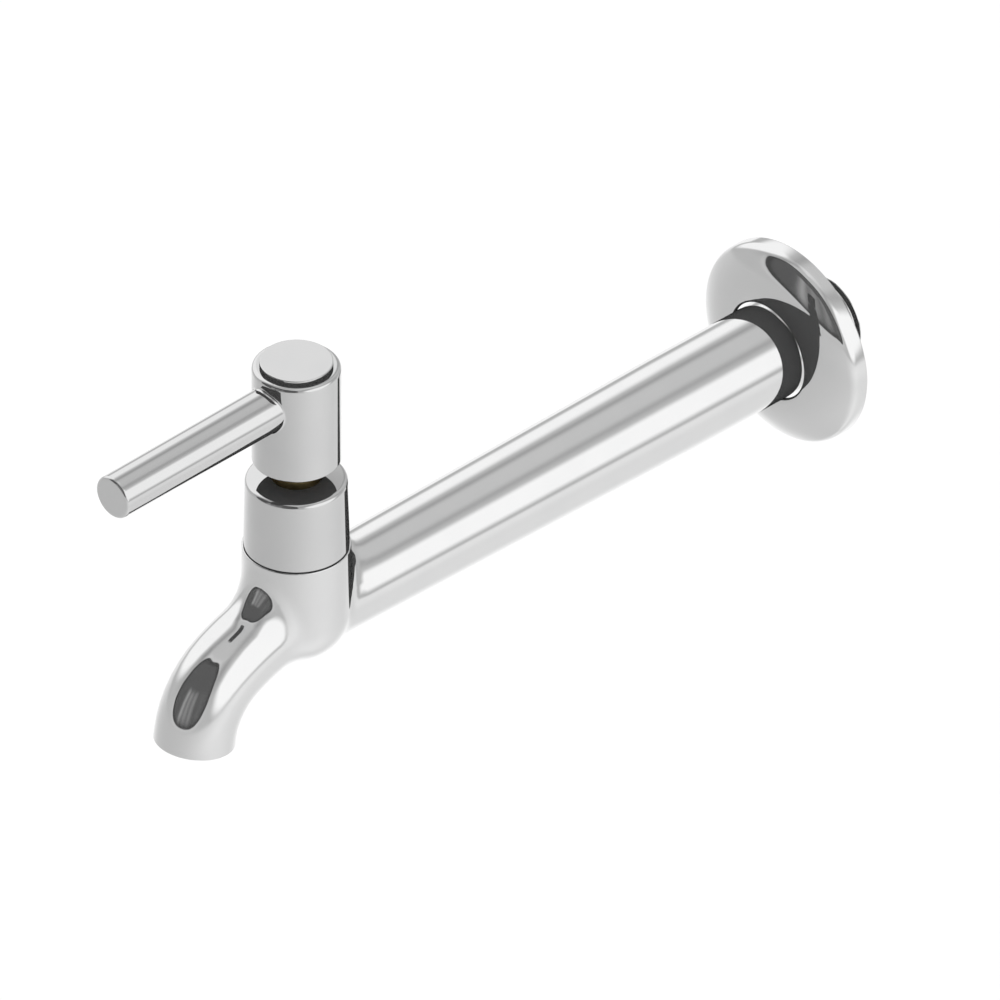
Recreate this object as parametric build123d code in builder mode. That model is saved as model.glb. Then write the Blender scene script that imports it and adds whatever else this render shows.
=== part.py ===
from build123d import *
import os
from math import cos, hypot, radians, sin

os.makedirs("parts", exist_ok=True)

# Wall-mounted lever tap for a sink, closed. Millimetres, +Z up. The origin is on the inlet axis at
# the wall face. +Y runs into the wall, and the tap reaches out of the wall along -Y.

# Fits
slide_gap = 0.05  # radial, between pieces that are fitted together and stay still
running_gap = 0.08  # radial, between the spindle and its bearing
moving_gap = 0.3  # between other pieces that turn past each other

# Inlet thread, a 3/4 inch parallel pipe thread
thread_radius = 13.22
thread_pitch = 1.814
thread_depth = 1.16
thread_crest = 0.3
thread_reach = 14.5
shoulder_setback = 1.5

# Tube
wall_to_valve = 198.0
tube_root_radius = 14.45
tube_front_radius = 12.75
tube_straight_length = 50.0  # from the wall, before the tube tapers
tube_bore_radius = 9.5

# Wall flange, pressed from sheet
flange_radius = 31.35
flange_depth = 10.6
flange_sheet = 1.0
flange_front_roll = 3.4
flange_back_roll = 0.5
flange_land = 3.05
flange_tube_gap = 0.7
flange_lip_round = 0.9
flange_lip_land = 0.9
lug_count = 3  # lugs behind the flange's lip centre it on the tube
lug_width = 2.0
lug_depth = 2.5
lug_turn = 75.7
seal_ring_width = 1.6
seal_ring_depth = 3.0

# Valve chamber
chamber_radius = 15.9
chamber_top = 23.55
chamber_dome_height = 1.45
chamber_bore_radius = 11.0
chamber_bore_top = 14.0
chamber_edge_round = 0.3
tube_blend = 8.0

# Water way
seat_height = 0.5
seat_hole_radius = 5.0
inlet_way_radius = 5.0
inlet_way_drop = 6.0
port_radius = 4.5
port_slope = 34.0
port_length = 17.0

# Spout
spout_radius = 11.95
spout_bore_radius = 8.5
spout_rise = 0.3  # the spout's axis above the tube's, at the valve
spout_entry_bend = 61.5
spout_entry_angle = 26.9
spout_end_bend = 23.3
spout_end_angle = 81.5  # below the horizontal, at the mouth
spout_end_length = 2.9
spout_bore_start = 18.0
spout_blend_land = 0.5  # straight wall left above the blend between chamber and spout
mouth_bore_radius = 9.6
mouth_bore_depth = 3.0
mouth_edge_round = 0.6
straightener_radius = 9.0
straightener_height = 3.6
straightener_hole_radius = 1.15
straightener_hole_pitch = 3.2
straightener_rim = 1.2

# Valve discs and seat seal
seal_height = 3.0
disc_radius = 8.0
disc_thickness = 3.0
disc_film = 0.05
disc_port_radius = 6.3
disc_port_hub = 2.2
disc_port_angle = 76.0

# Cartridge
skirt_wall = 1.05
skirt_lift = 0.5
window_width = 8.0
window_height = 3.3
cartridge_thread_radius = 9.95
cartridge_collar_radius = 12.2
cartridge_collar_height = 2.15
cartridge_washer_thickness = 0.8
hexagon_flats = 21.0
hexagon_height = 5.0
neck_radius = 7.5
neck_top = 50.9

# Spindle
spindle_radius = 5.0
foot_width = 5.0
tab_drop = 1.2
tab_length = 2.0
stop_collar_radius = 6.2
stop_collar_height = 2.5
stop_lug_radius = 7.3
stop_lug_angle = 50.0
stop_play = 2.0
lever_travel = 90.0
thrust_washer_thickness = 0.6
spindle_seal_section = 0.85
spindle_seal_height = 21.0
spindle_seal_pitch = 4.2
clip_lift = 0.3
clip_thickness = 0.8
clip_radius = 6.3
clip_groove_radius = 4.3
clip_opening = 60.0
spindle_shoulder = 1.0
spline_radius = 4.0
spline_depth = 0.4
spline_teeth = 20
spline_top = 64.2

# Shroud
shroud_foot_radius = 15.4
shroud_top_radius = 14.95
shroud_top = 46.8
shroud_joint = 0.4
shroud_bore_radius = 12.6
shroud_top_plate = 2.4
shroud_boss_radius = 10.0
shroud_boss_length = 5.0
shroud_edge_round = 1.5
shroud_top_rise = 0.8  # from the top's rim to the neck
shroud_seal_inner = 12.9
shroud_seal_outer = 14.9

# Lever hub
hub_radius = 13.0
hub_bottom = 53.9
hub_top = 86.5
hub_edge_round = 1.3
hub_bottom_round = 0.4
insert_radius = 7.5
insert_height = 9.6
web_bottom = 65.0
web_thickness = 3.0
screw_radius = 2.0
screw_length = 11.5
screw_head_radius = 3.8
screw_head_height = 3.0
screw_socket_flats = 3.0
screw_socket_depth = 1.6
screw_washer_thickness = 0.5
screw_well_radius = 4.4
cap_pocket_radius = 9.8
cap_pocket_depth = 3.5
cap_radius = 10.7
cap_height = 1.5
cap_edge_round = 0.25
cap_plug_radius = 9.3
cap_plug_wall = 2.2
cap_plug_depth = 3.0
cap_ring_section = 0.8

# Lever rod
lever_height = 76.7
lever_reach = 73.7
lever_droop = 1.15  # degrees below the horizontal, towards the tip
lever_root_radius = 6.85
lever_tip_radius = 6.7
lever_tip_round = 1.0
lever_boss_reach = 14.4
lever_boss_blend = 0.9
stud_radius = 3.0
stud_inner = 5.2
stud_depth_in_rod = 16.0
stud_hole_spare = 1.5

# Places and planes that follow from the sizes
valve_y = -wall_to_valve
valve_axis = Axis((0, valve_y, 0), (0, 0, 1))
valve_profile = Plane(origin=(0, valve_y, 0), x_dir=(0, 1, 0), z_dir=(1, 0, 0))
inlet_profile = Plane(origin=(0, 0, 0), x_dir=(0, 1, 0), z_dir=(-1, 0, 0))
shoulder_y = -shoulder_setback
flange_hole_radius = tube_root_radius + flange_tube_gap
spout_back = spout_entry_bend + spout_radius
blend_rise = chamber_top - spout_blend_land - spout_rise + spout_entry_bend
spout_blend = (blend_rise**2 - spout_back**2 + chamber_radius**2) / (2 * (spout_back - chamber_radius))
lever_heading = (0, -cos(radians(lever_droop)), -sin(radians(lever_droop)))
lever_root = Plane(origin=(0, valve_y, lever_height), x_dir=(1, 0, 0), z_dir=lever_heading)
rod_profile = Plane(origin=lever_root.origin, x_dir=lever_heading, z_dir=(1, 0, 0))
lower_disc_bottom = seat_height + seal_height
upper_disc_bottom = lower_disc_bottom + disc_thickness + disc_film
upper_disc_top = upper_disc_bottom + disc_thickness
upper_disc_radius = disc_radius + slide_gap - moving_gap
skirt_bore_radius = disc_radius + slide_gap
skirt_radius = skirt_bore_radius + skirt_wall
stop_bottom = chamber_bore_top
stop_top = stop_bottom + stop_collar_height
bearing_bottom = stop_top + thrust_washer_thickness + disc_film
cartridge_seat = chamber_top + cartridge_washer_thickness
hexagon_bottom = cartridge_seat + cartridge_collar_height
shroud_bottom = chamber_top + shroud_joint
clip_bottom = neck_top + clip_lift
shaft_top = clip_bottom + clip_thickness + spindle_shoulder
web_top = web_bottom + web_thickness
cap_pocket_bottom = hub_top - cap_pocket_depth
bearing_radius = spindle_radius + running_gap


def along_spout(angle):
    """Point on the spout's first bend, in the valve's profile plane."""
    drop = spout_entry_bend * (1 - cos(radians(angle)))
    return (-spout_entry_bend * sin(radians(angle)), spout_rise - drop)


def spout_line(first_angle):
    """Path of the spout's axis from a point on its first bend to the mouth."""
    heading = (-cos(radians(first_angle)), -sin(radians(first_angle)))
    start = along_spout(first_angle)
    entry = JernArc(start, heading, spout_entry_bend, spout_entry_angle - first_angle)
    turn = JernArc(entry @ 1, entry % 1, spout_end_bend, spout_end_angle - spout_entry_angle)
    Line(turn @ 1, turn @ 1 + spout_end_length * (turn % 1))


def band(inner, outer, bottom, top):
    """Rectangle in a profile plane, from one radius to another and one height to another."""
    with Locations(((inner + outer) / 2, (bottom + top) / 2)):
        Rectangle(outer - inner, top - bottom)


def sleeve(near, far, inner, outer):
    """Rectangle in the inlet's profile plane, from one y to another and one radius to another."""
    with Locations(((near + far) / 2, (inner + outer) / 2)):
        Rectangle(far - near, outer - inner)


def spline_outline(outer_radius):
    """Closed toothed outline with its tips on the given radius."""
    step = 360 / (2 * spline_teeth)
    radii = [outer_radius, outer_radius - spline_depth] * spline_teeth
    tips = [
        (radius * cos(radians(step * tooth)), radius * sin(radians(step * tooth)))
        for tooth, radius in enumerate(radii)
    ]
    Polyline(*tips, close=True)


def sector(radius, start, end):
    """Pie slice about the valve axis, from one angle to another."""
    rim = CenterArc((0, 0), radius, start, end - start)
    Line((0, 0), rim @ 0)
    Line(rim @ 1, (0, 0))


def disc_port(middle):
    """Ring segment outline of one port, centred on the given angle."""
    start = middle - disc_port_angle / 2
    inner = CenterArc((0, 0), disc_port_hub, start, disc_port_angle)
    outer = CenterArc((0, 0), disc_port_radius, start, disc_port_angle)
    Line(inner @ 0, outer @ 0)
    Line(inner @ 1, outer @ 1)


def dome_outline(inset):
    """Half section of the flange's dome, inset from its outer skin."""
    roll_y = -flange_back_roll - flange_land
    roll_radius = flange_radius - flange_front_roll
    crown_start = flange_hole_radius + flange_lip_round + flange_lip_land
    rise = roll_y + flange_depth
    run = roll_radius - crown_start
    crown = (rise**2 + run**2 - flange_front_roll**2) / (2 * (rise - flange_front_roll))
    crown_y = crown - flange_depth
    reach = hypot(roll_y - crown_y, run)
    along_y = (roll_y - crown_y) / reach
    along_radius = run / reach
    crown_end = (crown_y + (crown - inset) * along_y, crown_start + (crown - inset) * along_radius)
    front = inset - flange_depth
    rim = flange_radius - inset
    middle_reach = hypot(along_y - 1, along_radius)
    crown_middle = (
        crown_y + (crown - inset) * (along_y - 1) / middle_reach,
        crown_start + (crown - inset) * along_radius / middle_reach,
    )
    Line((0, 0), (front, 0))
    Line((front, 0), (front, crown_start))
    ThreePointArc((front, crown_start), crown_middle, crown_end)
    RadiusArc(crown_end, (roll_y, rim), flange_front_roll - inset)
    Line((roll_y, rim), (0, rim))
    Line((0, rim), (0, 0))


# Tap body: tube, valve chamber and spout cast in one piece, then bored and threaded
with BuildPart() as tap_body:
    with BuildSketch(inlet_profile):
        with BuildLine():
            Polyline(
                (valve_y, 0),
                (valve_y, tube_front_radius),
                (-tube_straight_length, tube_root_radius),
                (shoulder_y, tube_root_radius),
                (shoulder_y, 0),
                close=True,
            )
        make_face()
    revolve(axis=Axis.Y)
    with BuildSketch(valve_profile):
        with BuildLine():
            Line((0, chamber_top), (chamber_radius, chamber_top))
            Line((chamber_radius, chamber_top), (chamber_radius, chamber_dome_height))
            CenterArc((0, chamber_dome_height), chamber_radius, 0, -90)
            Line((0, chamber_dome_height - chamber_radius), (0, chamber_top))
        make_face()
    revolve(axis=valve_axis)
    with BuildLine(valve_profile) as spout_path:
        spout_line(0)
    with BuildSketch(Plane(origin=spout_path.line @ 0, z_dir=spout_path.line % 0)):
        Circle(spout_radius)
    sweep(path=spout_path.line)

    creases = tap_body.edges().filter_by(GeomType.BSPLINE)
    fillet(creases.filter_by(lambda edge: edge.center().Y < valve_y), radius=spout_blend)
    creases = tap_body.edges().filter_by(GeomType.BSPLINE)
    fillet(creases.filter_by(lambda edge: edge.center().Y > valve_y), radius=tube_blend)
    fillet(tap_body.faces().sort_by(Axis.Z)[0].edges(), radius=mouth_edge_round)
    fillet(tap_body.faces().sort_by(Axis.Z)[-1].edges(), radius=chamber_edge_round)

    # Threaded inlet end, drawn as rings at the thread's pitch
    with BuildSketch(inlet_profile):
        with BuildLine():
            root = thread_radius - thread_depth
            flank = (thread_pitch + thread_crest) / 2
            turns = int((thread_reach + shoulder_setback - flank) / thread_pitch) + 1
            teeth = []
            for turn in reversed(range(turns)):
                crest_end = thread_reach - turn * thread_pitch
                teeth.append((crest_end - flank, root))
                teeth.append((crest_end - thread_crest, thread_radius))
                teeth.append((crest_end, thread_radius))
            Polyline((shoulder_y, 0), (shoulder_y, root), *teeth, (thread_reach, 0), close=True)
        make_face()
    revolve(axis=Axis.Y)

    # Water way: tube bore, passage under the seat, chamber, port, spout bore and mouth
    tube_bore_end = valve_y + chamber_radius
    with BuildSketch(Plane.XZ.offset(-thread_reach)):
        Circle(tube_bore_radius)
    extrude(amount=thread_reach - tube_bore_end, mode=Mode.SUBTRACT)
    with BuildSketch(Plane(origin=(0, tube_bore_end, -inlet_way_drop), z_dir=(0, -1, 0))):
        Circle(inlet_way_radius)
    extrude(amount=chamber_radius, mode=Mode.SUBTRACT)
    with BuildSketch(valve_profile):
        band(0, seat_hole_radius, -inlet_way_drop, seat_height)
        band(0, chamber_bore_radius, seat_height, chamber_bore_top)
        band(0, cartridge_thread_radius + slide_gap, chamber_bore_top, chamber_top)
    revolve(axis=valve_axis, mode=Mode.SUBTRACT)
    port_way = Plane(
        origin=(
            0,
            valve_y - chamber_bore_radius + port_radius * sin(radians(port_slope)),
            seat_height + port_radius / cos(radians(port_slope)),
        ),
        z_dir=(0, -cos(radians(port_slope)), -sin(radians(port_slope))),
    )
    with BuildSketch(port_way):
        Circle(port_radius)
    extrude(amount=port_length, mode=Mode.SUBTRACT)
    with BuildLine(valve_profile) as bore_path:
        spout_line(spout_bore_start)
    with BuildSketch(Plane(origin=bore_path.line @ 0, z_dir=bore_path.line % 0)):
        Circle(spout_bore_radius)
    sweep(path=bore_path.line, mode=Mode.SUBTRACT)
    mouth = Plane(origin=spout_path.line @ 1, x_dir=(1, 0, 0), z_dir=-(spout_path.line % 1))
    with BuildSketch(mouth):
        Circle(mouth_bore_radius)
    extrude(amount=mouth_bore_depth, mode=Mode.SUBTRACT)
    with BuildSketch(mouth.offset(mouth_bore_depth)):
        Circle(straightener_radius)
    extrude(amount=straightener_height, mode=Mode.SUBTRACT)
tap_body.part.label = "tap_body"
export_step(tap_body.part, "parts/tap_body.step")

# Flow straightener, a perforated plug above the mouth
with BuildPart() as flow_straightener:
    with BuildSketch(mouth.offset(mouth_bore_depth)):
        Circle(straightener_radius - slide_gap)
        Circle(straightener_hole_radius, mode=Mode.SUBTRACT)
        hole_reach = straightener_radius - straightener_rim - straightener_hole_radius
        for ring in range(1, int(hole_reach / straightener_hole_pitch) + 1):
            with PolarLocations(ring * straightener_hole_pitch, 6 * ring):
                Circle(straightener_hole_radius, mode=Mode.SUBTRACT)
    extrude(amount=straightener_height)
flow_straightener.part.label = "flow_straightener"
export_step(flow_straightener.part, "parts/flow_straightener.step")

# Wall flange: a domed shell with a hole wider than the tube and three lugs that centre it
with BuildPart() as wall_flange:
    with BuildSketch(inlet_profile):
        with BuildLine():
            dome_outline(0)
        make_face()
    revolve(axis=Axis.Y)
    fillet(wall_flange.faces().sort_by(Axis.Y)[-1].edges(), radius=flange_back_roll)
    with BuildSketch(inlet_profile):
        with BuildLine():
            dome_outline(flange_sheet)
        make_face()
    revolve(axis=Axis.Y, mode=Mode.SUBTRACT)
    with BuildSketch(inlet_profile):
        sleeve(-flange_depth, 0, 0, flange_hole_radius)
    revolve(axis=Axis.Y, mode=Mode.SUBTRACT)
    lip = wall_flange.faces().sort_by(Axis.Y)[0].edges().sort_by(SortBy.RADIUS)[0]
    fillet(lip, radius=flange_lip_round)
    lug_front = flange_lip_round - flange_depth
    lug_middle = tube_root_radius + slide_gap + flange_tube_gap / 2 + flange_sheet / 2
    with BuildSketch(Plane(origin=(0, lug_front, 0), x_dir=(1, 0, 0), z_dir=(0, 1, 0))):
        with PolarLocations(lug_middle, lug_count, start_angle=lug_turn):
            Rectangle(flange_tube_gap + flange_sheet, lug_width)
    extrude(amount=lug_depth)
    with BuildSketch(inlet_profile):
        sleeve(-flange_depth, 0, 0, tube_root_radius + slide_gap)
    revolve(axis=Axis.Y, mode=Mode.SUBTRACT)
wall_flange.part.label = "wall_flange"
export_step(wall_flange.part, "parts/wall_flange.step")

# Foam ring inside the flange's rim, which seals against the wall
with BuildPart() as wall_seal_ring:
    seal_ring_outer = flange_radius - flange_sheet - slide_gap
    with BuildSketch(inlet_profile):
        sleeve(-seal_ring_depth, 0, seal_ring_outer - seal_ring_width, seal_ring_outer)
    revolve(axis=Axis.Y)
wall_seal_ring.part.label = "wall_seal_ring"
export_step(wall_seal_ring.part, "parts/wall_seal_ring.step")

# Rubber ring between the seat and the fixed disc
with BuildPart() as seat_seal:
    with BuildSketch(valve_profile):
        band(seat_hole_radius, disc_radius, seat_height, lower_disc_bottom)
    revolve(axis=valve_axis)
seat_seal.part.label = "seat_seal"
export_step(seat_seal.part, "parts/seat_seal.step")

# Fixed ceramic disc, with ports to the left and right
with BuildPart() as fixed_disc:
    with BuildSketch(Plane((0, valve_y, lower_disc_bottom))):
        Circle(disc_radius)
        for side in (0, 180):
            with BuildLine():
                disc_port(side)
            make_face(mode=Mode.SUBTRACT)
    extrude(amount=disc_thickness)
fixed_disc.part.label = "fixed_disc"
export_step(fixed_disc.part, "parts/fixed_disc.step")

# Turning ceramic disc, with ports to the front and back, and notches for the spindle
with BuildPart() as turning_disc:
    with BuildSketch(Plane((0, valve_y, upper_disc_bottom))):
        Circle(upper_disc_radius)
        for side in (90, 270):
            with BuildLine():
                disc_port(side)
            make_face(mode=Mode.SUBTRACT)
    extrude(amount=disc_thickness)
    with BuildSketch(Plane((0, valve_y, upper_disc_top))):
        with Locations((-upper_disc_radius, 0), (upper_disc_radius, 0)):
            Rectangle(2 * tab_length + 2 * slide_gap, foot_width + 2 * slide_gap)
    extrude(amount=-(tab_drop + slide_gap), mode=Mode.SUBTRACT)
turning_disc.part.label = "turning_disc"
export_step(turning_disc.part, "parts/turning_disc.step")

# Spindle, closed: drive foot, stop collar, bearing with two seal grooves, and spline
with BuildPart() as spindle:
    with BuildSketch(Plane((0, valve_y, upper_disc_top))):
        Rectangle(2 * upper_disc_radius, foot_width)
        with BuildSketch(mode=Mode.PRIVATE) as foot_end:
            Circle(upper_disc_radius)
        add(foot_end.sketch, mode=Mode.INTERSECT)
    extrude(amount=stop_bottom - upper_disc_top)
    with BuildSketch(Plane((0, valve_y, upper_disc_top))):
        Rectangle(2 * upper_disc_radius, foot_width)
        Rectangle(2 * (upper_disc_radius - tab_length), foot_width, mode=Mode.SUBTRACT)
        with BuildSketch(mode=Mode.PRIVATE) as tab_end:
            Circle(upper_disc_radius)
        add(tab_end.sketch, mode=Mode.INTERSECT)
    extrude(amount=-tab_drop)
    with BuildSketch(Plane((0, valve_y, stop_bottom))):
        Circle(stop_collar_radius)
        with BuildLine():
            sector(stop_lug_radius, -stop_lug_angle / 2, stop_lug_angle / 2)
        make_face()
    extrude(amount=stop_collar_height)
    with BuildSketch(valve_profile):
        band(0, spindle_radius, stop_top, shaft_top)
    revolve(axis=valve_axis)
    seal_heights = [spindle_seal_height, spindle_seal_height + spindle_seal_pitch]
    seal_groove_floor = spindle_radius - 2 * spindle_seal_section
    with BuildSketch(valve_profile):
        for height in seal_heights:
            half_width = spindle_seal_section + slide_gap
            band(seal_groove_floor, spindle_radius, height - half_width, height + half_width)
        clip_groove_top = clip_bottom + clip_thickness + slide_gap
        band(clip_groove_radius, spindle_radius, clip_bottom - slide_gap, clip_groove_top)
    revolve(axis=valve_axis, mode=Mode.SUBTRACT)
    with BuildSketch(Plane((0, valve_y, shaft_top))):
        with BuildLine():
            spline_outline(spline_radius)
        make_face()
    extrude(amount=spline_top - shaft_top)
    with BuildSketch(Plane((0, valve_y, spline_top))):
        Circle(screw_radius + slide_gap)
    extrude(amount=-(screw_length - screw_washer_thickness), mode=Mode.SUBTRACT)
spindle.part.label = "spindle"
export_step(spindle.part, "parts/spindle.step")

# Rubber rings on the spindle
for place, height in zip(("lower", "upper"), seal_heights):
    with BuildPart() as spindle_seal:
        with BuildSketch(valve_profile):
            with Locations((spindle_radius - spindle_seal_section, height)):
                Circle(spindle_seal_section)
        revolve(axis=valve_axis)
    spindle_seal.part.label = f"spindle_seal_{place}"
    export_step(spindle_seal.part, f"parts/spindle_seal_{place}.step")

# Washer that takes the spindle's upward push
with BuildPart() as thrust_washer:
    with BuildSketch(valve_profile):
        band(bearing_radius, stop_collar_radius, stop_top, stop_top + thrust_washer_thickness)
    revolve(axis=valve_axis)
thrust_washer.part.label = "thrust_washer"
export_step(thrust_washer.part, "parts/thrust_washer.step")

# Open spring clip that keeps the spindle in the cartridge
with BuildPart() as spindle_clip:
    with BuildSketch(valve_profile):
        band(clip_groove_radius + slide_gap, clip_radius, clip_bottom, clip_bottom + clip_thickness)
    revolve(axis=valve_axis, revolution_arc=360 - clip_opening)
spindle_clip.part.label = "spindle_clip"
export_step(spindle_clip.part, "parts/spindle_clip.step")

# Cartridge body: skirt with windows, thread, collar, hexagon and neck
with BuildPart() as cartridge_body:
    with BuildSketch(valve_profile):
        band(0, skirt_radius, seat_height + skirt_lift, chamber_bore_top)
        band(0, cartridge_thread_radius, chamber_bore_top, cartridge_seat)
        band(0, cartridge_collar_radius, cartridge_seat, hexagon_bottom)
        band(0, neck_radius, hexagon_bottom, neck_top)
    revolve(axis=valve_axis)
    with BuildSketch(Plane((0, valve_y, hexagon_bottom))):
        RegularPolygon(hexagon_flats / 2, side_count=6, major_radius=False)
    extrude(amount=hexagon_height)
    with BuildSketch(valve_profile):
        band(0, skirt_bore_radius, seat_height + skirt_lift, stop_bottom)
        band(0, stop_collar_radius + moving_gap, stop_bottom, bearing_bottom)
        band(0, bearing_radius, bearing_bottom, neck_top)
    revolve(axis=valve_axis, mode=Mode.SUBTRACT)
    with BuildSketch(Plane((0, valve_y, stop_bottom))):
        with BuildLine():
            sector(
                stop_lug_radius + moving_gap,
                -stop_lug_angle / 2 - stop_play,
                stop_lug_angle / 2 + lever_travel + stop_play,
            )
        make_face()
    extrude(amount=bearing_bottom - stop_bottom, mode=Mode.SUBTRACT)
    with BuildSketch(Plane((0, valve_y, upper_disc_top))):
        Rectangle(2 * chamber_bore_radius, window_width)
        Rectangle(window_width, 2 * chamber_bore_radius)
    extrude(amount=window_height, mode=Mode.SUBTRACT)
cartridge_body.part.label = "cartridge_body"
export_step(cartridge_body.part, "parts/cartridge_body.step")

# Fibre washer under the cartridge's collar
with BuildPart() as cartridge_washer:
    with BuildSketch(valve_profile):
        band(
            cartridge_thread_radius + slide_gap,
            cartridge_collar_radius,
            chamber_top,
            cartridge_seat,
        )
    revolve(axis=valve_axis)
cartridge_washer.part.label = "cartridge_washer"
export_step(cartridge_washer.part, "parts/cartridge_washer.step")

# Shroud over the cartridge, with a threaded boss on the neck
with BuildPart() as shroud:
    neck_hole_radius = neck_radius + slide_gap
    shroud_crown = shroud_top + shroud_top_rise
    with BuildSketch(valve_profile):
        with BuildLine():
            Polyline(
                (0, shroud_bottom),
                (shroud_foot_radius, shroud_bottom),
                (shroud_top_radius, shroud_top),
                (neck_hole_radius, shroud_crown),
                (0, shroud_crown),
                close=True,
            )
        make_face()
    revolve(axis=valve_axis)
    rings = shroud.edges().filter_by(GeomType.CIRCLE).sort_by(Axis.Z)
    rims = rings.filter_by(lambda edge: edge.radius > neck_radius + shroud_edge_round)
    fillet(rims[-1], radius=shroud_edge_round)
    plate_bottom = shroud_top - shroud_top_plate
    with BuildSketch(valve_profile):
        band(0, shroud_bore_radius, shroud_bottom, plate_bottom)
    revolve(axis=valve_axis, mode=Mode.SUBTRACT)
    with BuildSketch(valve_profile):
        band(0, shroud_boss_radius, plate_bottom - shroud_boss_length, plate_bottom)
    revolve(axis=valve_axis)
    with BuildSketch(valve_profile):
        band(0, neck_hole_radius, shroud_bottom, shroud_crown)
    revolve(axis=valve_axis, mode=Mode.SUBTRACT)
shroud.part.label = "shroud"
export_step(shroud.part, "parts/shroud.step")

# Thin rubber ring in the joint between the shroud and the body
with BuildPart() as shroud_seal_ring:
    with BuildSketch(valve_profile):
        band(shroud_seal_inner, shroud_seal_outer, chamber_top, shroud_bottom)
    revolve(axis=valve_axis)
shroud_seal_ring.part.label = "shroud_seal_ring"
export_step(shroud_seal_ring.part, "parts/shroud_seal_ring.step")

# Splined insert in the hub
with BuildPart() as spline_insert:
    with BuildSketch(Plane((0, valve_y, web_bottom - insert_height))):
        Circle(insert_radius - slide_gap)
        with BuildLine():
            spline_outline(spline_radius + slide_gap)
        make_face(mode=Mode.SUBTRACT)
    extrude(amount=insert_height)
spline_insert.part.label = "spline_insert"
export_step(spline_insert.part, "parts/spline_insert.step")

# Lever hub with the short boss that carries the rod
with BuildPart() as lever_hub:
    with BuildSketch(valve_profile):
        band(0, hub_radius, hub_bottom, hub_top)
    revolve(axis=valve_axis)
    with BuildSketch(lever_root):
        Circle(lever_root_radius)
    extrude(amount=lever_boss_reach)
    fillet(lever_hub.edges().filter_by(GeomType.BSPLINE), radius=lever_boss_blend)
    fillet(lever_hub.faces().sort_by(Axis.Z)[-1].edges(), radius=hub_edge_round)
    fillet(lever_hub.faces().sort_by(Axis.Z)[0].edges(), radius=hub_bottom_round)
    with BuildSketch(valve_profile):
        band(0, insert_radius, hub_bottom, web_bottom)
        band(0, screw_radius + slide_gap, web_bottom, web_top)
        band(0, screw_well_radius, web_top, cap_pocket_bottom)
        band(0, cap_pocket_radius, cap_pocket_bottom, hub_top)
    revolve(axis=valve_axis, mode=Mode.SUBTRACT)
    with BuildSketch(lever_root):
        Circle(stud_radius + slide_gap)
    extrude(amount=lever_boss_reach, mode=Mode.SUBTRACT)
lever_hub.part.label = "lever_hub"
export_step(lever_hub.part, "parts/lever_hub.step")

# Washer and screw that hold the hub on the spindle
with BuildPart() as screw_washer:
    with BuildSketch(valve_profile):
        washer_top = web_top + screw_washer_thickness
        band(screw_radius + slide_gap, screw_head_radius, web_top, washer_top)
    revolve(axis=valve_axis)
screw_washer.part.label = "screw_washer"
export_step(screw_washer.part, "parts/screw_washer.step")

with BuildPart() as hub_screw:
    head_bottom = web_top + screw_washer_thickness
    head_top = head_bottom + screw_head_height
    with BuildSketch(valve_profile):
        band(0, screw_radius, head_bottom - screw_length, head_bottom)
        band(0, screw_head_radius, head_bottom, head_top)
    revolve(axis=valve_axis)
    with BuildSketch(Plane((0, valve_y, head_top))):
        RegularPolygon(screw_socket_flats / 2, side_count=6, major_radius=False)
    extrude(amount=-screw_socket_depth, mode=Mode.SUBTRACT)
hub_screw.part.label = "hub_screw"
export_step(hub_screw.part, "parts/hub_screw.step")

# Cap that closes the hub, with a rubber ring round its plug
with BuildPart() as hub_cap:
    cap_ring_height = hub_top - cap_plug_depth / 2
    cap_ring_radius = cap_pocket_radius - slide_gap - cap_ring_section
    groove_half_height = cap_ring_section + slide_gap
    with BuildSketch(valve_profile):
        band(0, cap_radius, hub_top, hub_top + cap_height)
        band(cap_plug_radius - cap_plug_wall, cap_plug_radius, hub_top - cap_plug_depth, hub_top)
    revolve(axis=valve_axis)
    with BuildSketch(valve_profile):
        band(
            cap_ring_radius - groove_half_height,
            cap_pocket_radius,
            cap_ring_height - groove_half_height,
            cap_ring_height + groove_half_height,
        )
    revolve(axis=valve_axis, mode=Mode.SUBTRACT)
    fillet(hub_cap.faces().sort_by(Axis.Z)[-1].edges(), radius=cap_edge_round)
hub_cap.part.label = "hub_cap"
export_step(hub_cap.part, "parts/hub_cap.step")

with BuildPart() as cap_grip_ring:
    with BuildSketch(valve_profile):
        with Locations((cap_ring_radius, cap_ring_height)):
            Circle(cap_ring_section)
    revolve(axis=valve_axis)
cap_grip_ring.part.label = "cap_grip_ring"
export_step(cap_grip_ring.part, "parts/cap_grip_ring.step")

# Stud between the hub and the rod
with BuildPart() as lever_stud:
    stud_end = lever_boss_reach + stud_depth_in_rod
    with BuildSketch(lever_root.offset(stud_inner)):
        Circle(stud_radius)
    extrude(amount=stud_end - stud_inner)
lever_stud.part.label = "lever_stud"
export_step(lever_stud.part, "parts/lever_stud.step")

# Lever rod, slightly tapered
with BuildPart() as lever_rod:
    with BuildSketch(rod_profile):
        with BuildLine():
            Polyline(
                (lever_reach, 0),
                (lever_reach, lever_tip_radius),
                (lever_boss_reach, lever_root_radius),
                (lever_boss_reach, 0),
                close=True,
            )
        make_face()
    revolve(axis=Axis(lever_root.origin, lever_heading))
    fillet(lever_rod.faces().sort_by(Axis.Y)[0].edges(), radius=lever_tip_round)
    with BuildSketch(lever_root.offset(lever_boss_reach)):
        Circle(stud_radius + slide_gap)
    extrude(amount=stud_depth_in_rod + stud_hole_spare, mode=Mode.SUBTRACT)
lever_rod.part.label = "lever_rod"
export_step(lever_rod.part, "parts/lever_rod.step")
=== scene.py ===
from math import cos, radians, sin

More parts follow.
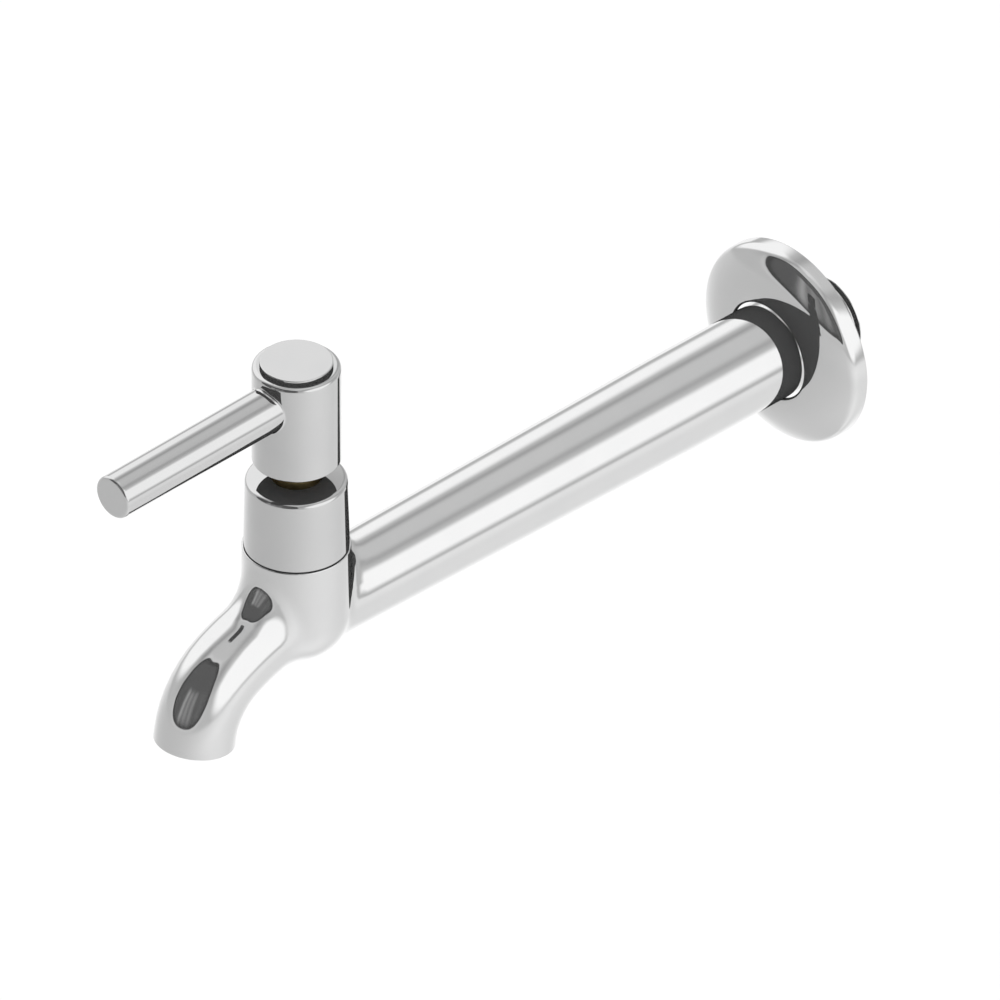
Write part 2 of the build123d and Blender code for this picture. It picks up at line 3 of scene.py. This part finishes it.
import bpy
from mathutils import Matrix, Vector


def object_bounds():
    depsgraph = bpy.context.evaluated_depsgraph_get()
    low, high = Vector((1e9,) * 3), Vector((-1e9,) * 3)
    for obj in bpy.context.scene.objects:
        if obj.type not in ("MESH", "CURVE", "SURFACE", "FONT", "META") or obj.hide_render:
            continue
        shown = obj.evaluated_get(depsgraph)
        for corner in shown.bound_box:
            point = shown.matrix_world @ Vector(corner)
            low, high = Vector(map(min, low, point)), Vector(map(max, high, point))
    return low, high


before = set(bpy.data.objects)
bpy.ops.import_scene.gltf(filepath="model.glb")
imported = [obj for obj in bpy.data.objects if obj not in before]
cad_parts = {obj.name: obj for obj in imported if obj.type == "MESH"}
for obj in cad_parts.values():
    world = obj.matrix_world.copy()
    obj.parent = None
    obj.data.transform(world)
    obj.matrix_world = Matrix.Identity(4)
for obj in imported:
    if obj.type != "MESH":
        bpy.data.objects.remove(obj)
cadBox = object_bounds()
print("frame loaded,", len(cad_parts), "solids")


# A socket or a number that takes part in sums. Each sum adds a Math node.
class Value:
    def __init__(self, tree, socket):
        self.tree, self.socket = tree, socket

    def math(self, operation, *others):
        made = self.tree.node("ShaderNodeMath", {"operation": operation}, dict(enumerate((self, *others))))
        return made.out("Value")

    def __add__(self, other): return self.math("ADD", other)
    __radd__ = __add__
    def __mul__(self, other): return self.math("MULTIPLY", other)
    __rmul__ = __mul__
    def __sub__(self, other): return self.math("SUBTRACT", other)
    def __rsub__(self, other): return Value(self.tree, other).math("SUBTRACT", self)
    def __truediv__(self, other): return self.math("DIVIDE", other)
    def __rtruediv__(self, other): return Value(self.tree, other).math("DIVIDE", self)
    def __pow__(self, other): return self.math("POWER", other)
    def __neg__(self): return self.math("MULTIPLY", -1)
    def __abs__(self): return self.math("ABSOLUTE")


class Made:
    def __init__(self, tree, node):
        self.tree, self.node = tree, node

    def out(self, name=0):
        return Value(self.tree, self.node.outputs[name])


# A node tree with one way to add any node: its type, its settings, its sockets.
class Tree:
    def __init__(self, nodeTree):
        self.nodeTree = nodeTree
        nodeTree.nodes.clear()

    def node(self, kind, settings=None, sockets=None):
        node = self.nodeTree.nodes.new(kind)
        for name, value in (settings or {}).items():
            setattr(node, name, value)
        for name, value in (sockets or {}).items():
            self.feed(node.inputs[name], value)
        return Made(self, node)

    def feed(self, socket, value):
        if isinstance(value, Made):
            value = value.out()
        if isinstance(value, Value):
            value = value.socket
        if isinstance(value, bpy.types.NodeSocket):
            self.nodeTree.links.new(value, socket)
        elif hasattr(value, "__len__") and len(value) == 3 and socket.type == "RGBA":
            socket.default_value = (*value, 1)
        else:
            socket.default_value = value

    def ramp(self, value, low, high, outLow=0.0, outHigh=1.0):
        made = self.node("ShaderNodeMapRange", {"interpolation_type": "SMOOTHSTEP"}, {
            "Value": value, "From Min": low, "From Max": high, "To Min": outLow, "To Max": outHigh})
        return made.out("Result")

    def blend(self, share, first, second):
        made = self.node("ShaderNodeMix", {"data_type": "RGBA"}, {"Factor": share, 6: first, 7: second})
        return made.out(2)


def newMaterial(name):
    material = bpy.data.materials.new(name)
    material.use_nodes = True
    return material, Tree(material.node_tree)


def finishMaterial(tree, shader):
    tree.node("ShaderNodeOutputMaterial", {}, {"Surface": shader})


# The studio as the polished metal sees it: two white panels, a dark opening in front, a grey room
# and a pale floor. Headings and heights are in degrees: 0 is into the wall, 90 to the right, 180 in front.

studio = {
    "wall": {"low": 0.47, "high": 0.54, "rise": (0, 35), "front": 0.48, "frontEdge": (60, 75)},
    "ceiling": {"level": 0.504, "rise": (56, 66), "frontRise": (56, 62),
                "glow": 0.18, "heading": -10, "width": 55},
    "rightPanel": {"centre": (79.2, 21.0), "half": (37.1, 29.2), "corner": 1.67, "lowCorner": 2.4,
                   "soft": 0.176, "level": 0.95, "frame": {"depth": 0.14, "at": 1.5, "width": 0.30}},
    "leftPanel": {"centre": (-80.6, 29.9), "half": (37.1, 29.7), "corner": 1.97, "lowCorner": 1.75,
                  "soft": 0.193, "level": 0.92, "frame": {"depth": 0.17, "at": 1.46, "width": 0.27}},
    "frontOpening": {"centre": (178.9, 30.9), "half": (49.7, 32.7), "corner": 3.33, "lowCorner": 3.33,
                     "soft": 0.017, "level": 0.108, "inside": {"depth": 0.04, "at": 0.95, "width": 0.06},
                     "outside": {"glow": 0.05, "at": 1.05, "width": 0.05},
                     "streaks": ((148, 6, 0.02), (168, 5.5, 0.12), (181, 5.5, 0.13), (193, 4.5, 0.2)),
                     "streaksRise": (-4, 10), "streaksEnd": (28, 36)},
    "cornerTurn": (0, 20), "frameRise": (5, 30),
    "floor": {"level": 0.497, "below": 0.072, "belowRise": (20, 60)},
    "horizon": {"height": -5, "dip": 7, "heading": 57, "width": 45, "blur": (-4, 3)},
    "rightGlow": {"amount": 0.213, "heading": 73.8, "width": 69.4, "far": 0.08, "farAt": 20, "farWidth": 9},
    "leftGlow": {"amount": 0.42, "heading": -46.6, "width": 44, "rise": (1, 10),
                 "fades": 0.526, "fadeRise": (48, 75)},
    "contrast": 1.08, "softShare": 0.082, "roomLight": 0.95,
}


def bell(value, centre, width):
    offset = (value - centre) / width
    return (offset * offset * -1).math("EXPONENT")


def awayFrom(heading, centre):
    # degrees between two headings, 0 to 180
    return abs((heading - centre + 540).math("FLOORED_MODULO", 360) - 180)


def level(share, first, second):
    return first + share * (second - first)


def panelReach(tree, heading, height, panel):
    # 1 on the panel's rounded edge, less inside it
    corner = tree.ramp(height, *studio["cornerTurn"], panel["lowCorner"], panel["corner"])
    across = (awayFrom(heading, panel["centre"][0]) / panel["half"][0]) ** corner
    up = (abs(height - panel["centre"][1]) / panel["half"][1]) ** corner
    return (across + up) ** (1 / corner)


def hangPanel(tree, behind, reach, panel, colour):
    inside = 1 - tree.ramp(reach, 1 - panel["soft"], 1 + panel["soft"])
    return level(inside, behind, colour)


def hangLamp(tree, behind, heading, height, panel):
    # a white panel, with a darker border round its upper part
    reach = panelReach(tree, heading, height, panel)
    border = panel["frame"]
    shade = border["depth"] * tree.ramp(height, *studio["frameRise"])
    behind = behind - shade * bell(reach, border["at"], border["width"])
    return hangPanel(tree, behind, reach, panel, panel["level"])


def cutOpening(tree, behind, heading, height, panel):
    # the dark front of the room, with upright streaks of light low down in it
    reach = panelReach(tree, heading, height, panel)
    streaks = 0
    for centre, width, amount in panel["streaks"]:
        streaks = streaks + amount * bell(awayFrom(heading, centre), 0, width)
    lit = tree.ramp(height, *panel["streaksRise"]) * (1 - tree.ramp(height, *panel["streaksEnd"]))
    outside, inside = panel["outside"], panel["inside"]
    behind = behind + outside["glow"] * bell(reach, outside["at"], outside["width"])
    colour = panel["level"] + lit * streaks - inside["depth"] * bell(reach, inside["at"], inside["width"])
    return hangPanel(tree, behind, reach, panel, colour)


def paintRoom(tree, heading, height):
    wall, ceiling = studio["wall"], studio["ceiling"]
    back = tree.ramp(height, *wall["rise"], wall["low"], wall["high"])
    glow = ceiling["glow"] * bell(awayFrom(heading, ceiling["heading"]), 0, ceiling["width"])
    room = level(tree.ramp(height, *ceiling["rise"]), back, ceiling["level"] + glow)
    sides = level(tree.ramp(awayFrom(heading, 180), *wall["frontEdge"]), wall["front"], room)
    return level(tree.ramp(height, *ceiling["frontRise"]), sides, room)


def paintFloor(tree, heading, down):
    plain, right, left = studio["floor"], studio["rightGlow"], studio["leftGlow"]
    floor = plain["level"] + plain["below"] * tree.ramp(down, *plain["belowRise"])
    far = right["far"] * bell(down, right["farAt"], right["farWidth"])
    floor = floor + (right["amount"] + far) * bell(awayFrom(heading, right["heading"]), 0, right["width"])
    glow = bell(awayFrom(heading, left["heading"]), 0, left["width"]) * tree.ramp(down, *left["rise"])
    return floor + left["amount"] * glow * (1 - left["fades"] * tree.ramp(down, *left["fadeRise"]))


def makeStudio():
    world = bpy.data.worlds.new("studio")
    bpy.context.scene.world = world
    world.use_nodes = True
    tree = Tree(world.node_tree)
    split = tree.node("ShaderNodeSeparateXYZ", {}, {0: tree.node("ShaderNodeTexCoord").out("Generated")})
    heading = split.out("X").math("ARCTAN2", split.out("Y")).math("DEGREES")
    height = split.out("Z").math("ARCSINE").math("DEGREES")

    room = paintRoom(tree, heading, height)
    room = hangLamp(tree, room, heading, height, studio["leftPanel"])
    room = hangLamp(tree, room, heading, height, studio["rightPanel"])
    room = cutOpening(tree, room, heading, height, studio["frontOpening"])
    edge = studio["horizon"]
    horizon = edge["height"] - edge["dip"] * bell(awayFrom(heading, edge["heading"]), 0, edge["width"])
    seen = level(tree.ramp(height - horizon, *edge["blur"]), paintFloor(tree, heading, -height), room)
    # the metal's small soft share adds the rest of each value
    seen = (studio["contrast"] * seen - studio["softShare"]).math("MAXIMUM", 0)

    path = tree.node("ShaderNodeLightPath")
    mirrored = path.out("Is Glossy Ray").math("MAXIMUM", path.out("Is Transmission Ray"))
    plain = level(path.out("Is Camera Ray"), studio["roomLight"], 1.0)
    strength = level(mirrored, plain, seen)
    light = tree.node("ShaderNodeBackground", {}, {"Color": (1, 1, 1), "Strength": strength})
    tree.node("ShaderNodeOutputWorld", {}, {"Surface": light})


makeStudio()
print("studio light made")

# Camera: the photograph's view, from the front right and above

view = {"azimuth": 46.4, "height": 35.26, "away": 3.0, "pixelsPerMetre": 3465, "size": 1000,
        "aim": (296.4, 609.5), "aimAt": (0, -0.198, 0), "near": 0.1, "far": 100}


def makeCamera():
    camera = bpy.data.objects.new("camera", bpy.data.cameras.new("camera"))
    bpy.context.scene.collection.objects.link(camera)
    a, e = radians(view["azimuth"]), radians(view["height"])
    back = Vector((sin(a) * cos(e), -cos(a) * cos(e), sin(e)))
    right = Vector((cos(a), sin(a), 0))
    half = view["size"] / 2
    across = (half - view["aim"][0]) / view["pixelsPerMetre"]
    up = (view["aim"][1] - half) / view["pixelsPerMetre"]
    camera.location = Vector(view["aimAt"]) + right * across + back.cross(right) * up + back * view["away"]
    camera.rotation_mode = "QUATERNION"
    camera.rotation_quaternion = back.to_track_quat("Z", "Y")
    camera.data.type = "ORTHO"
    camera.data.ortho_scale = view["size"] / view["pixelsPerMetre"]
    camera.data.clip_start, camera.data.clip_end = view["near"], view["far"]
    bpy.context.scene.camera = camera


makeCamera()
print("camera placed")

# Floor, well under the tap, white as the background

floorLook = {"drop": 0.34, "size": 60, "colour": (0.86, 0.86, 0.86), "lift": 0.21}


def makeFloor():
    low = cadBox[0].z - floorLook["drop"]
    half = floorLook["size"] / 2
    mesh = bpy.data.meshes.new("floor")
    mesh.from_pydata([(-half, -half, low), (half, -half, low), (half, half, low), (-half, half, low)],
                     [], [(0, 1, 2, 3)])
    floor = bpy.data.objects.new("floor", mesh)
    bpy.context.scene.collection.objects.link(floor)
    material, tree = newMaterial("paleFloor")
    camera = tree.node("ShaderNodeLightPath").out("Is Camera Ray")
    paint = tree.node("ShaderNodeBsdfDiffuse", {}, {"Color": floorLook["colour"]})
    lift = tree.node("ShaderNodeEmission", {}, {"Color": (1, 1, 1), "Strength": camera * floorLook["lift"]})
    finishMaterial(tree, tree.node("ShaderNodeAddShader", {}, {0: paint, 1: lift}))
    mesh.materials.append(material)
    floor.visible_glossy = False  # polished metal sees the studio's own pale floor
    floor.visible_transmission = False


makeFloor()
print("floor made")


# Materials

def noise(tree, place, grain):
    if "stretch" in grain:
        place = tree.node("ShaderNodeMapping", {}, {"Vector": place, "Scale": grain["stretch"]})
    sockets = {"Vector": place, "Scale": grain["scale"], "Detail": grain["detail"],
               "Roughness": grain.get("roughness", 0.5)}
    return tree.node("ShaderNodeTexNoise", {}, sockets).out("Fac")


def patches(tree, place, grain):
    return tree.ramp(noise(tree, place, grain), *grain["from"])


def bump(tree, height, strength, distance):
    made = tree.node("ShaderNodeBump", {}, {"Strength": strength, "Distance": distance, "Height": height})
    return made.out("Normal")


chromeLook = {
    "body": {"bright": (0.98, 0.98, 0.98), "hazy": (0.962, 0.963, 0.965)},
    # painted shade: the lever's chrome is the body's chrome made darker, which darkens every reflection on the
    # lever's pieces
    "lever": {"bright": (0.862, 0.862, 0.862), "hazy": (0.844, 0.845, 0.847)},
    "metal": 0.92, "smooth": 0.012, "rough": 0.03,
    "haze": {"scale": 70, "detail": 4, "from": (0.35, 0.7), "share": 0.35},
    "wipe": {"scale": 260, "detail": 2, "roughness": 0.6, "stretch": (1, 0.12, 1), "share": 0.3},
    "specks": {"scale": 900, "detail": 2, "from": (0.62, 0.8), "share": 0.25},
    "ripple": {"scale": 160, "detail": 2, "strength": 0.05, "distance": 0.00004},
}


def chromeShader(tree, place, part):
    look, tint = chromeLook, chromeLook[part]
    haze = patches(tree, place, look["haze"])
    worn = look["haze"]["share"] * haze + look["wipe"]["share"] * noise(tree, place, look["wipe"])
    worn = worn + look["specks"]["share"] * patches(tree, place, look["specks"])
    ripple = look["ripple"]
    return tree.node("ShaderNodeBsdfPrincipled", {}, {
        "Base Color": tree.blend(haze, tint["bright"], tint["hazy"]), "Metallic": look["metal"],
        "Roughness": look["smooth"] + (look["rough"] - look["smooth"]) * worn,
        "Normal": bump(tree, noise(tree, place, ripple), ripple["strength"], ripple["distance"])})


def makeChrome(name, part):
    material, tree = newMaterial(name)
    finishMaterial(tree, chromeShader(tree, tree.node("ShaderNodeTexCoord").out("Object"), part))
    return material


rodLook = {"reach": (0.045, 0.05), "outer": (-0.2375, -0.2405)}  # metres from the mirror, and along the lever


def makeRodChrome(name):
    # the lever's outer length leaves no dark line in the spout, 50 mm and more away from it
    material, tree = newMaterial(name)
    place = tree.node("ShaderNodeTexCoord").out("Object")
    along = tree.node("ShaderNodeSeparateXYZ", {}, {0: place}).out("Y")
    path = tree.node("ShaderNodeLightPath")
    far = path.out("Is Glossy Ray") * tree.ramp(path.out("Ray Length"), *rodLook["reach"])
    far = far * tree.ramp(along, *rodLook["outer"])
    # the rod takes the lever's darker chrome, a painted shade
    metal = chromeShader(tree, place, "lever")
    clear = tree.node("ShaderNodeBsdfTransparent", {}, {"Color": (1, 1, 1)})
    finishMaterial(tree, tree.node("ShaderNodeMixShader", {}, {0: far, 1: metal, 2: clear}))
    return material


turned = {
    "brass": {"colour": (0.80, 0.62, 0.30), "dull": (0.62, 0.46, 0.21), "pitch": 0.00028},
    "steel": {"colour": (0.62, 0.62, 0.61), "dull": (0.50, 0.50, 0.49), "pitch": 0.0002},
    "waveUnit": 0.31416,  # the wave texture's pitch in metres at scale 1
    "wave": {"Distortion": 0.6, "Detail": 2.0}, "smooth": 0.22, "rough": 0.38, "ringShare": 0.6,
    "stain": {"scale": 140, "detail": 4, "from": (0.35, 0.75)}, "strength": 0.25, "distance": 0.00002,
}


def makeTurned(name, metal):
    look = turned[metal]
    material, tree = newMaterial(name)
    place = tree.node("ShaderNodeTexCoord").out("Object")
    bands = {"wave_type": "BANDS", "bands_direction": "Z", "wave_profile": "SIN"}
    sockets = {"Vector": place, "Scale": turned["waveUnit"] / look["pitch"], **turned["wave"]}
    rings = tree.node("ShaderNodeTexWave", bands, sockets).out("Fac")
    stain = patches(tree, place, turned["stain"])
    worn = turned["ringShare"] * rings + (1 - turned["ringShare"]) * stain
    finishMaterial(tree, tree.node("ShaderNodeBsdfPrincipled", {}, {
        "Base Color": tree.blend(stain, look["colour"], look["dull"]), "Metallic": 1.0,
        "Roughness": tree.ramp(worn, 0, 1, turned["smooth"], turned["rough"]),
        "Normal": bump(tree, rings, turned["strength"], turned["distance"])}))
    return material


moulded = {
    "rubber": {"dark": (0.018, 0.018, 0.019), "pale": (0.035, 0.035, 0.036), "rough": (0.45, 0.62), "grain": 1400},
    "foam": {"dark": (0.05, 0.05, 0.052), "pale": (0.11, 0.11, 0.11), "rough": (0.85, 0.98), "grain": 1100},
    "fibre": {"dark": (0.30, 0.055, 0.035), "pale": (0.46, 0.11, 0.07), "rough": (0.7, 0.9), "grain": 900},
    "ceramic": {"dark": (0.80, 0.79, 0.75), "pale": (0.88, 0.87, 0.84), "rough": (0.12, 0.2), "grain": 2600},
    "whitePlastic": {"dark": (0.74, 0.74, 0.72), "pale": (0.82, 0.82, 0.80), "rough": (0.35, 0.5), "grain": 1600},
    "greyPlastic": {"dark": (0.34, 0.345, 0.35), "pale": (0.42, 0.425, 0.43), "rough": (0.35, 0.5), "grain": 1600},
}
mouldedSkin = {"cloud": {"scale": 180, "detail": 3, "from": (0.3, 0.75)}, "detail": 3, "cloudShare": 0.5,
               "strength": 0.3, "distance": 0.00005}


def makeMoulded(name):
    look, skin = moulded[name], mouldedSkin
    material, tree = newMaterial(name)
    place = tree.node("ShaderNodeTexCoord").out("Object")
    grain = noise(tree, place, {"scale": look["grain"], "detail": skin["detail"]})
    cloud = patches(tree, place, skin["cloud"])
    tone = skin["cloudShare"] * cloud + (1 - skin["cloudShare"]) * grain
    finishMaterial(tree, tree.node("ShaderNodeBsdfPrincipled", {}, {
        "Base Color": tree.blend(tone, look["dark"], look["pale"]),
        "Roughness": tree.ramp(cloud, 0, 1, *look["rough"]),
        "Normal": bump(tree, grain, skin["strength"], skin["distance"])}))
    return material


finishes = {
    "chrome": makeChrome("polishedChrome", "body"),
    # the lever's pieces get the darker copy of the chrome, a painted shade
    "leverChromePaintedShade": makeChrome("polishedChromeLeverPaintedShade", "lever"),
    "rodChrome": makeRodChrome("polishedChromeRod"),
    "brass": makeTurned("machinedBrass", "brass"),
    "steel": makeTurned("turnedSteel", "steel"),
}
for name in moulded:
    finishes[name] = makeMoulded(name)
print("materials made:", ", ".join(sorted(finishes)))

dressed = {
    "chrome": ["tap_body", "wall_flange"],
    "leverChromePaintedShade": ["shroud", "lever_hub", "hub_cap"],
    "rodChrome": ["lever_rod"],
    "brass": ["cartridge_body", "spindle"],
    "steel": ["spindle_clip", "screw_washer", "hub_screw", "lever_stud"],
    "ceramic": ["fixed_disc", "turning_disc"],
    "rubber": ["seat_seal", "spindle_seal_lower", "spindle_seal_upper", "shroud_seal_ring", "cap_grip_ring"],
    "foam": ["wall_seal_ring"],
    "fibre": ["cartridge_washer"],
    "whitePlastic": ["thrust_washer", "spline_insert"],
    "greyPlastic": ["flow_straightener"],
}
for finish, names in dressed.items():
    for name in names:
        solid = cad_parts[name]
        solid.data.materials.clear()
        solid.data.materials.append(finishes[finish])

seams = {"pieces": ["tap_body", "wall_flange"], "join": 0.000002, "sharpFrom": 24}


def shadeEvenly(solid):
    # joins the mesh along its faces' seams and keeps only its sharp edges, so reflections run on over a seam
    weld = solid.modifiers.new("weld", "WELD")
    weld.merge_threshold = seams["join"]
    edges = solid.modifiers.new("sharpEdges", "EDGE_SPLIT")
    edges.split_angle, edges.use_edge_sharp = radians(seams["sharpFrom"]), False
    shade = solid.modifiers.new("evenShade", "WEIGHTED_NORMAL")
    shade.mode, shade.keep_sharp = "CORNER_ANGLE", False


for name in seams["pieces"]:
    shadeEvenly(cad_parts[name])
print("solids dressed")

scene = bpy.context.scene
scene.view_settings.view_transform = "Standard"
scene.cycles.glossy_bounces = 0  # where the tap reflects itself it stays dark
